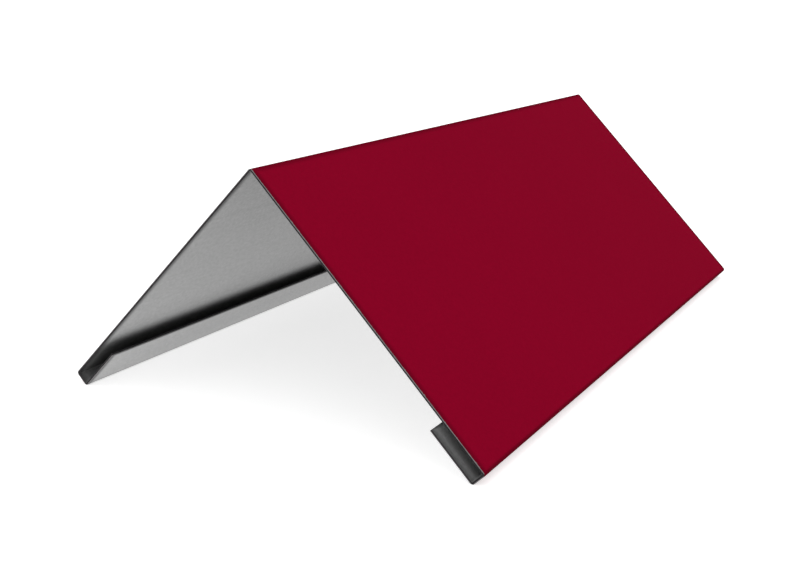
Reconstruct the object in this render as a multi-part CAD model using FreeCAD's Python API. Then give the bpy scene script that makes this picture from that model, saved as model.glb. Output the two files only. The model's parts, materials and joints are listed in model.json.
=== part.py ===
"""Roof ridge cap: the folded sheet that closes the top of a pitched roof.

It is one strip of coated sheet steel, bent along its whole length. Seen from the
end it is an inverted V. Each wing lies over one slope of the roof. At the eave side
the wing ends in a fold, which stiffens the edge and sheds the water: a narrow web,
square to the wing, then a lip that returns under the wing and bears on the roof.

Millimetres, +Z up, +Y along the ridge. The origin is on the floor below the middle
of the ridge, and the cap stands on the bends between its webs and lips.
"""

import FreeCAD, Part
import math
import os

# Driving dimensions. Widths are measured over the outside of the bends.
CAP_LENGTH = 350.0          # along the ridge, end to end
WING_WIDTH = 150.0          # ridge corner to eave corner
RIDGE_ANGLE = 90.0          # degrees between the two wings
EAVE_BEND = 90.0            # degrees that the sheet turns from the wing into the web
FOLD_DEPTH = 8.0            # top face of the wing to bearing face of the lip
LIP_WIDTH = 26.0            # outer corner of the fold to the lip's free edge
SHEET_THICKNESS = 1.0
INNER_BEND_RADIUS = 0.5     # inside of every bend

OUTER_BEND_RADIUS = INNER_BEND_RADIUS + SHEET_THICKNESS
WING_SLOPE = (180.0 - RIDGE_ANGLE) / 2

# The web spans the depth of the fold, and the lip comes back parallel to the wing.
WEB_WIDTH = FOLD_DEPTH / math.sin(math.radians(EAVE_BEND))
LIP_BEND = 180.0 - EAVE_BEND

# One half of the sheet, from the ridge outwards: each flat, and the bend after it.
HALF_STRIP = (
    (WING_WIDTH, EAVE_BEND),
    (WEB_WIDTH, LIP_BEND),
    (LIP_WIDTH, 0.0),
)


def half_corners(side):
    """Sharp corners of the outer skin on one side, +1 right or -1 left, ridge first."""
    heading = -WING_SLOPE
    point = FreeCAD.Vector(0, 0, 0)
    corners = [point]
    for width, bend in HALF_STRIP:
        turn = math.radians(heading)
        point = point + FreeCAD.Vector(side * math.cos(turn), 0, math.sin(turn)) * width
        corners.append(point)
        heading -= bend
    return corners


def bent_line(corners, radius):
    """The line through the corners, with each corner rounded by a tangent arc."""
    edges = []
    start = corners[0]
    for before, corner, after in zip(corners, corners[1:], corners[2:]):
        back = (before - corner).normalize()
        ahead = (after - corner).normalize()
        half_opening = back.getAngle(ahead) / 2
        setback = radius / math.tan(half_opening)
        to_arc = radius / math.sin(half_opening) - radius
        arc_start = corner + back * setback
        arc_middle = corner + (back + ahead).normalize() * to_arc
        arc_end = corner + ahead * setback
        edges.append(Part.LineSegment(start, arc_start).toShape())
        edges.append(Part.Arc(arc_start, arc_middle, arc_end).toShape())
        start = arc_end
    edges.append(Part.LineSegment(start, corners[-1]).toShape())
    return Part.Wire(edges)


def section():
    """The sheet's cross-section: its outer skin, thickened towards the inside of the bends."""
    left = half_corners(-1)
    right = half_corners(+1)
    outer_skin = bent_line(left[:0:-1] + right, OUTER_BEND_RADIUS)
    return outer_skin.makeOffset2D(-SHEET_THICKNESS, fill=True, openResult=True)


def ridge_cap():
    """The whole cap, standing on the floor with the middle of its length at the origin."""
    face = section()
    stand = -face.optimalBoundingBox().ZMin
    face.translate(FreeCAD.Vector(0, -CAP_LENGTH / 2, stand))
    return face.extrude(FreeCAD.Vector(0, CAP_LENGTH, 0))


cap = ridge_cap()
os.makedirs("parts", exist_ok=True)
cap.exportStep("parts/ridge_cap.step")

box = cap.optimalBoundingBox()
print(f"ridge_cap: {box.XLength:.2f} x {box.YLength:.2f} x {box.ZLength:.2f} mm,", end=" ")
print(f"sheet strip {cap.Volume / SHEET_THICKNESS / CAP_LENGTH:.1f} mm wide before bending")
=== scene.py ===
"""Looks of the roof ridge cap: its coats, its sheared edges, the floor, light and camera.

The cap is one folded sheet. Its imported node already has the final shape, so the node
stays and gets its finish here. Metres, +Z up, +Y along the ridge, as in the frame.
"""

import bpy
import json
import math
from mathutils import Matrix, Vector


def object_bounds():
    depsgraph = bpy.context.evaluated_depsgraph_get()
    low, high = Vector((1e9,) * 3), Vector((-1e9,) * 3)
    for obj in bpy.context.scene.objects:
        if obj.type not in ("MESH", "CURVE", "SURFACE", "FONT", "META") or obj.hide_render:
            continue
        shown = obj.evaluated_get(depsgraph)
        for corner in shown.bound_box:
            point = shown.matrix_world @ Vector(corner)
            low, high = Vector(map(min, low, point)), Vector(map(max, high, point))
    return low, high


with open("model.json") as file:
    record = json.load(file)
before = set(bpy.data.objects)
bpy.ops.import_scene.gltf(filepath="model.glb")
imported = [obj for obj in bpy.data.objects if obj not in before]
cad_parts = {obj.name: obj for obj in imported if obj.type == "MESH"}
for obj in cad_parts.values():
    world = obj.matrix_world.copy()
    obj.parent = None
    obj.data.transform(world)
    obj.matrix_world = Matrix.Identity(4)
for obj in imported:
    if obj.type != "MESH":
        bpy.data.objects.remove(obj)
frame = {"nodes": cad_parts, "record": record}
cad_low, cad_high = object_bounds()
mounts = {mount["name"]: mount for mount in frame["record"]["mounts"]}

MM = 0.001

# The sheet in section. A point is so far down the slope from the ridge corner, and so
# deep below the wing's top face. The wing, its fold and its lip follow from two mounts.
SHEET = 1.0 * MM
OUTER_LAYER = 0.6 * SHEET   # how deep from the outer skin a point still belongs to it
BEND_RADIUS = 1.5 * MM      # outside of every bend
HALF_LENGTH = cad_high.y
WING_MIDDLE = Vector(mounts["right_wing_top"]["pos_m"])
OUT = Vector(mounts["right_wing_top"]["axis"])
DOWN = Vector((OUT.z, 0, -OUT.x))
WING = 2 * WING_MIDDLE.x / DOWN.x
LIP_MIDDLE = Vector(mounts["right_lip_seat"]["pos_m"])
FOLD_DEPTH = (WING_MIDDLE - LIP_MIDDLE).dot(OUT)
LIP_EDGE = 2 * (LIP_MIDDLE - WING_MIDDLE).dot(DOWN) + BEND_RADIUS
STANDING_DEPTH = FOLD_DEPTH - BEND_RADIUS * (1 - OUT.z)     # of the line that the cap stands on

# Light. A sky, lamp panel or floor of level 1 looks white.
HORIZON_LEVEL = 0.45
ZENITH_LEVEL = 1.35
KEY_POWER_W = 2.0
KEY_SIZE = 1.2
KEY_PLACE = Vector((0.9, -0.9, 1.3))
INSIDE_LEVEL = 0.62
INSIDE_REACH = 20 * MM      # how far the panel inside the cap runs out past each end
INSIDE_HEIGHT = 0.3 * MM    # of the panel above the floor
FLOOR_SIZE = 60.0           # so wide that its far edge lies at the horizon
FLOOR_GREY = 0.7            # its own colour
FLOOR_LIFT = 0.6            # added where the floor is looked at, so that only shadow is below white

# The camera, fitted to the corners of the cap in the photograph
PHOTO_WIDTH_PX = 808
FOCAL_LENGTH_PX = 1074.7
CAMERA_PLACE = Vector((262.26, -506.72, 181.61)) * MM
CAMERA_AZIMUTH = 30.07      # degrees, 0 looks along +Y
CAMERA_ELEVATION = 16.12
CAMERA_ROLL = 0.43
SENSOR_WIDTH_MM = 36.0


def srgb(red, green, blue):
    """A display colour from 0 to 255, as a linear one with alpha."""
    def linear(value):
        value /= 255
        return value / 12.92 if value <= 0.04045 else ((value + 0.055) / 1.055) ** 2.4
    return (linear(red), linear(green), linear(blue), 1.0)


WHITE = (1.0, 1.0, 1.0, 1.0)
RED_COAT = srgb(131, 2, 34)
BACK_COAT = srgb(176, 176, 176)
BURNISHED_STEEL = srgb(126, 123, 124)
TORN_STEEL = srgb(50, 48, 50)

# The coats' tones, and the cut faces
HAIR = 0.02 * MM            # half the width of a soft border
COAT_LINE = 0.06 * MM       # width of each coat's line along a cut face
RED_RIM_SHADE = 0.56         # painted shade: tone of the red coat at the sheet's edges and outer bends, against its open face
BACK_RIM_SHADE = 0.33        # painted shade: tone of the back coat at the sheet's edges
LIP_LIFT = 0.05             # by how much the grey is lighter on the lips' outer faces
END_RIM = 3.8 * MM          # width of the strip of painted shade along the sheared ends
RIDGE_RIM = 3.2 * MM        # and along the ridge's bend
EDGE_RIM = 1.7 * MM         # and along the eaves' bends and the lips' free edges
FOLD_SHADE_TONE = 0.34            # painted shade: tone of the back coat inside the folds
FOLD_END_SHADE_TONE = (0.45, 0.95)        # the painted fold shade's tones at the sheet's ends, by the wing and on the lip
FOLD_END_FADE = 13 * MM     # how far in from the ends the one turns into the other
FOLD_SHADE_FADE = (-5 * MM, 11 * MM)      # where the painted fold shade starts and is full, past the lip's free edge
BURNISHED_WIDTH = 0.32 * SHEET      # of the band along a cut face, next to the outer skin
CHIP_SPARED = 0.06 * MM     # taken off the chips' reach, so that few are deep
CHIP_LEAST = 0.03 * MM      # how far the outer coat is chipped back from the sheared ends at least
CHIP_SOFT_FROM = 0.8        # where a chip's soft border starts, as a share of its reach
BARE_METALLIC = 0.6
ROUGHNESS = 0.5
TORN_ROUGHNESS = 0.2        # added where the steel is torn

# The noises of the grain: the size of their features across the ridge and along it
NOISE_SIZES = {
    "grit": (0.25 * MM, 0.25 * MM),
    "peel": (1.3 * MM, 1.3 * MM),
    "cloud": (70 * MM, 70 * MM),
    "hairlines": (0.4 * MM, 40 * MM),
    "rolled": (2.4 * MM, 170 * MM),
}

# What each noise adds: to tones and roughness, and in metres to heights and borders
RED_GRAIN = {"peel": 0.2, "grit": 0.15, "cloud": 0.08}
BACK_GRAIN = {"peel": 0.46, "grit": 0.2, "hairlines": 0.14, "rolled": 0.07, "cloud": 0.1}
BURNISHED_GRAIN = {"grit": 0.4}
TORN_GRAIN = {"grit": 1.2}
ROUGHNESS_GRAIN = {"peel": 0.15, "hairlines": 0.1}
RELIEF = {"peel": 0.02 * MM, "grit": 0.016 * MM}
TORN_RELIEF = {"grit": 0.1 * MM}
TORN_BORDER = {"peel": 0.3 * SHEET, "grit": 0.2 * SHEET}
CHIP_BORDER = {"peel": 1.5 * MM, "grit": 0.75 * MM}


class Nodes:
    """A node tree, written with short calls."""

    def __init__(self, owner):
        owner.use_nodes = True
        self.tree = owner.node_tree
        self.tree.nodes.clear()

    def node(self, kind, inputs, **settings):
        node = self.tree.nodes.new("ShaderNode" + kind)
        for name, value in settings.items():
            setattr(node, name, value)
        pairs = inputs.items() if isinstance(inputs, dict) else enumerate(inputs)
        for key, value in pairs:
            if isinstance(value, Field):
                self.tree.links.new(value.socket, node.inputs[key])
            else:
                node.inputs[key].default_value = value
        return node

    def add(self, kind, output, inputs=(), **settings):
        """A new node, and that output of it as a field. Inputs go by place or by name."""
        return Field(self, self.node(kind, inputs, **settings).outputs[output])

    def noise(self, place, size):
        """Soft noise about 0, some 0.5 wide, with features that large along x, y and z."""
        scale = [1 / length for length in size]
        stretched = self.add("VectorMath", 0, (place, scale), operation="MULTIPLY")
        noise = self.add("TexNoise", "Fac", {"Vector": stretched, "Scale": 1.0, "Detail": 2.0})
        return noise - 0.5

    def ramp(self, value, start, end):
        """0 up to the start and 1 from the end on, with a smooth rise between them."""
        inputs = {"Value": value, "From Min": start, "From Max": end}
        return self.add("MapRange", "Result", inputs, interpolation_type="SMOOTHSTEP")

    def mix(self, share, first, second):
        """The first colour, and the second where the share is 1. A Mix node has its colour
        sockets at these places."""
        return self.add("Mix", 2, {0: share, 6: first, 7: second}, data_type="RGBA")

    def toned(self, colour, tone):
        """The colour, times a tone that varies."""
        vector = colour if isinstance(colour, Field) else colour[:3]
        return self.add("VectorMath", 0, {0: vector, "Scale": tone}, operation="SCALE")


class Field:
    """A value that varies over the surface. It is reckoned with as a number is, and a
    zone is a field that is 1 inside and 0 outside."""

    def __init__(self, nodes, socket):
        self.nodes = nodes
        self.socket = socket

    def math(self, operation, *values):
        return self.nodes.add("Math", 0, (self, *values), operation=operation)

    def __add__(self, other):
        return self.math("ADD", other)

    def __sub__(self, other):
        return self.math("SUBTRACT", other)

    def __rsub__(self, number):
        return self.math("MULTIPLY_ADD", -1.0, number)

    def __mul__(self, other):
        return self.math("MULTIPLY", other)

    def __lt__(self, other):
        return self.math("LESS_THAN", other)

    def __gt__(self, other):
        return self.math("GREATER_THAN", other)

    def __abs__(self):
        return self.math("ABSOLUTE")

    def least(self, other):
        return self.math("MINIMUM", other)

    def most(self, other):
        return self.math("MAXIMUM", other)

    def between(self, first, second):
        """The first value where this is 0, and the second where it is 1."""
        return self * (second - first) + first

    def distance(self, other):
        """Across a right angle from one length and the other."""
        return (self * self + other * other).math("SQRT")


class SheetPlace:
    """Where a surface point lies on the folded sheet. The left half reads as the right one."""

    def __init__(self, nodes):
        self.place = nodes.add("TexCoord", "Object")
        x, y, z = (nodes.add("SeparateXYZ", axis, (self.place,)) for axis in "XYZ")
        self.slope = abs(x) * DOWN.x + z * DOWN.z + (WING / 2 - WING_MIDDLE.dot(DOWN))
        self.depth = abs(x) * -OUT.x + z * -OUT.z + WING_MIDDLE.dot(OUT)
        to_eave = WING - self.slope
        self.to_end = HALF_LENGTH - abs(y)

        # How deep in the sheet, from its outer skin
        self.inwards = self.depth.least(to_eave).least(FOLD_DEPTH - self.depth)
        self.outer = self.inwards < OUTER_LAYER

        # How far from the lip's free edge, and a metre more everywhere but on the lip
        lip = self.depth > FOLD_DEPTH / 2
        self.to_free_edge = self.slope - LIP_EDGE + (1 - lip)

        # How far from the middle of the ridge's bend and the eave's, and a metre more on the inner skin
        more = (1 - self.outer) - BEND_RADIUS * (math.sqrt(2) - 1)
        self.to_ridge_bend = self.slope.distance(self.depth) + more
        self.to_eave_bend = to_eave.distance(self.depth) + more


class Grain:
    """The unevenness of the finish: noise about 0, at each of its scales."""

    def __init__(self, nodes, place):
        self.noises = {
            name: nodes.noise(place, (across, along, across))
            for name, (across, along) in NOISE_SIZES.items()
        }

    def mixed(self, shares):
        """The noises that have a share, each times its share, added up."""
        parts = [self.noises[name] * share for name, share in shares.items()]
        return sum(parts[1:], parts[0])


def painted_rim_shade(nodes, sheet, painted):
    """Painted shade: both coats are darker along the sheet's edges and outer bends."""
    off_ends = nodes.ramp(sheet.to_end, 0.0, END_RIM)
    off_ridge = nodes.ramp(sheet.to_ridge_bend, 0.0, RIDGE_RIM)
    off_eave = nodes.ramp(sheet.to_eave_bend.least(sheet.to_free_edge), 0.0, EDGE_RIM)
    open_face = off_ends.least(off_ridge).least(off_eave)
    return open_face.between(painted.between(BACK_RIM_SHADE, RED_RIM_SHADE), 1.0)


def painted_fold_shade(nodes, sheet):
    """Painted shade: the back coat is darker inside the folds, where shade falls, and less so at the
    sheet's ends.
    """
    # Slope and depth added up grow straight down, so the painted shade sets in at one height
    start, full = FOLD_SHADE_FADE
    in_fold = nodes.ramp(sheet.slope + sheet.depth, LIP_EDGE + start, LIP_EDGE + full)
    end_tone = nodes.ramp(sheet.depth, FOLD_DEPTH / 2, FOLD_DEPTH).between(*FOLD_END_SHADE_TONE)
    off_ends = nodes.ramp(sheet.to_end, 0.0, FOLD_END_FADE)
    tone = off_ends.between(end_tone, FOLD_SHADE_TONE)
    return (in_fold * (1 - sheet.outer)).between(1.0, tone)


def coat_colour(nodes, sheet, grain):
    """Red outside on the wings and webs, and grey elsewhere."""
    painted = sheet.outer * (sheet.depth < STANDING_DEPTH)
    red = nodes.toned(RED_COAT, grain.mixed(RED_GRAIN) + 1.0)
    grey = nodes.toned(BACK_COAT, grain.mixed(BACK_GRAIN) + sheet.outer * LIP_LIFT + 1.0)
    # painted shade along the sheet's edges and outer bends, and inside the folds
    tone = painted_rim_shade(nodes, sheet, painted) * painted_fold_shade(nodes, sheet)
    return nodes.toned(nodes.mix(painted, grey, red), tone)


def bare_zone(nodes, sheet, grain):
    """Where the steel shows: on the cut faces between the lines of both coats, and in small
    chips of the outer coat along the sheared ends."""
    cut = (sheet.to_end < HAIR).most(sheet.to_free_edge < HAIR)
    under_outer_coat = nodes.ramp(sheet.inwards, COAT_LINE - HAIR, COAT_LINE + HAIR)
    over_inner_coat = nodes.ramp(SHEET - sheet.inwards, COAT_LINE - HAIR, COAT_LINE + HAIR)
    chip = (grain.mixed(CHIP_BORDER) - CHIP_SPARED).most(CHIP_LEAST)
    chipped = 1 - nodes.ramp(sheet.to_end, chip * CHIP_SOFT_FROM, chip)
    return (cut * under_outer_coat * over_inner_coat).most(chipped * sheet.outer)


def torn_zone(nodes, sheet, grain):
    """Shears burnish the part of a cut face next to the outer skin, and tear the rest."""
    torn_from = grain.mixed(TORN_BORDER) + BURNISHED_WIDTH
    return nodes.ramp(sheet.inwards - torn_from, -HAIR, HAIR)


def steel_colour(nodes, torn, grain):
    """Bright where it is burnished, and dark where it is torn."""
    burnished_steel = nodes.toned(BURNISHED_STEEL, grain.mixed(BURNISHED_GRAIN) + 1.0)
    torn_steel = nodes.toned(TORN_STEEL, grain.mixed(TORN_GRAIN) + 1.0)
    return nodes.mix(torn, burnished_steel, torn_steel)


def coated_steel():
    """The whole finish: both coats, the bare cut faces, and their fine relief."""
    material = bpy.data.materials.new("coated_steel")
    nodes = Nodes(material)
    sheet = SheetPlace(nodes)
    grain = Grain(nodes, sheet.place)
    bare = bare_zone(nodes, sheet, grain)
    torn = torn_zone(nodes, sheet, grain)
    coat = coat_colour(nodes, sheet, grain)

    relief = grain.mixed(RELIEF) + bare * torn * grain.mixed(TORN_RELIEF)
    bump = nodes.add("Bump", 0, {"Strength": 1.0, "Distance": 1.0, "Height": relief})
    shader = nodes.add("BsdfPrincipled", 0, {
        "Base Color": nodes.mix(bare, coat, steel_colour(nodes, torn, grain)),
        "Metallic": bare * BARE_METALLIC,
        "Roughness": grain.mixed(ROUGHNESS_GRAIN) + bare * torn * TORN_ROUGHNESS + ROUGHNESS,
        "Normal": bump,
        "Specular IOR Level": 0.0,
        "Coat Weight": 0.02,
        "Coat Roughness": 0.35,
        "Coat Normal": bump,
    })
    nodes.node("OutputMaterial", {"Surface": shader})
    return material


def looks_at_backdrop(nodes):
    """1 for the rays that show the backdrop: the camera's, and those that gloss or glass sends on."""
    path = nodes.node("LightPath", ())
    names = ("Is Camera Ray", "Is Glossy Ray", "Is Transmission Ray")
    camera, glossy, glass = (Field(nodes, path.outputs[name]) for name in names)
    return camera.most(glossy).most(glass)


def studio_world():
    """A soft sky, brightest overhead, that is looked at as plain white."""
    world = bpy.data.worlds.new("studio")
    bpy.context.scene.world = world
    nodes = Nodes(world)
    height = nodes.add("SeparateXYZ", "Z", (nodes.add("TexCoord", "Generated"),))
    level = height.most(0.0).between(HORIZON_LEVEL, ZENITH_LEVEL)
    light = nodes.add("Background", 0, {"Color": WHITE, "Strength": level})
    white = nodes.add("Background", 0, {"Color": WHITE, "Strength": 1.0})
    both = nodes.add("MixShader", 0, (looks_at_backdrop(nodes), light, white))
    nodes.node("OutputWorld", {"Surface": both})


def floor():
    """A wide pale floor under the cap, looked at as white where no shadow falls on it."""
    bpy.ops.mesh.primitive_plane_add(size=FLOOR_SIZE, location=(0, 0, cad_low.z))
    plane = bpy.context.object
    plane.name = "floor"
    material = bpy.data.materials.new("floor")
    nodes = Nodes(material)
    pale = nodes.add("BsdfDiffuse", 0, {"Color": (FLOOR_GREY, FLOOR_GREY, FLOOR_GREY, 1)})
    lift = nodes.add("Emission", 0, {"Color": WHITE, "Strength": looks_at_backdrop(nodes) * FLOOR_LIFT})
    nodes.node("OutputMaterial", {"Surface": nodes.add("AddShader", 0, (pale, lift))})
    plane.data.materials.append(material)


def area_lamp(name, shape, energy, size, place, aim):
    """A lamp panel that lights, but doesn't show itself."""
    lamp = bpy.data.lights.new(name, "AREA")
    lamp.shape = shape
    lamp.energy = energy
    lamp.size, lamp.size_y = size
    holder = bpy.data.objects.new(name, lamp)
    bpy.context.scene.collection.objects.link(holder)
    holder.location = place
    holder.rotation_euler = (aim - place).to_track_quat("-Z", "Y").to_euler()
    holder.visible_camera = False
    holder.visible_glossy = False
    holder.visible_transmission = False


def key_light():
    """A wide soft lamp, high on the camera's right."""
    aim = (cad_low + cad_high) / 2
    area_lamp("key", "DISK", KEY_POWER_W, (KEY_SIZE, KEY_SIZE), KEY_PLACE, aim)


def inside_light():
    """A soft panel just above the floor, as wide as the lips stand apart, which lights the wings
    from below."""
    lip_end = WING_MIDDLE + DOWN * (WING / 2 - BEND_RADIUS) - OUT * FOLD_DEPTH
    width = 2 * lip_end.x
    length = 2 * (HALF_LENGTH + INSIDE_REACH)
    energy = math.pi * width * length * INSIDE_LEVEL
    place = Vector((0, 0, cad_low.z + INSIDE_HEIGHT))
    area_lamp("inside", "RECTANGLE", energy, (width, length), place, place + Vector((0, 0, 1)))


def photo_camera():
    """The camera where the photograph was taken from."""
    data = bpy.data.cameras.new("photo")
    data.sensor_fit = "HORIZONTAL"
    data.sensor_width = SENSOR_WIDTH_MM
    data.lens = FOCAL_LENGTH_PX * SENSOR_WIDTH_MM / PHOTO_WIDTH_PX
    data.clip_start = 10 * MM
    camera = bpy.data.objects.new("photo", data)
    bpy.context.scene.collection.objects.link(camera)
    turn = Matrix.Rotation(math.radians(CAMERA_AZIMUTH), 4, "Z")
    tilt = Matrix.Rotation(math.radians(90 - CAMERA_ELEVATION), 4, "X")
    roll = Matrix.Rotation(math.radians(CAMERA_ROLL), 4, "Z")
    camera.matrix_world = Matrix.Translation(CAMERA_PLACE) @ turn @ tilt @ roll
    bpy.context.scene.camera = camera


cap = frame["nodes"]["ridge_cap"]
cap.data.materials.clear()
cap.data.materials.append(coated_steel())
studio_world()
floor()
key_light()
inside_light()
photo_camera()
bpy.context.scene.view_settings.view_transform = "Standard"
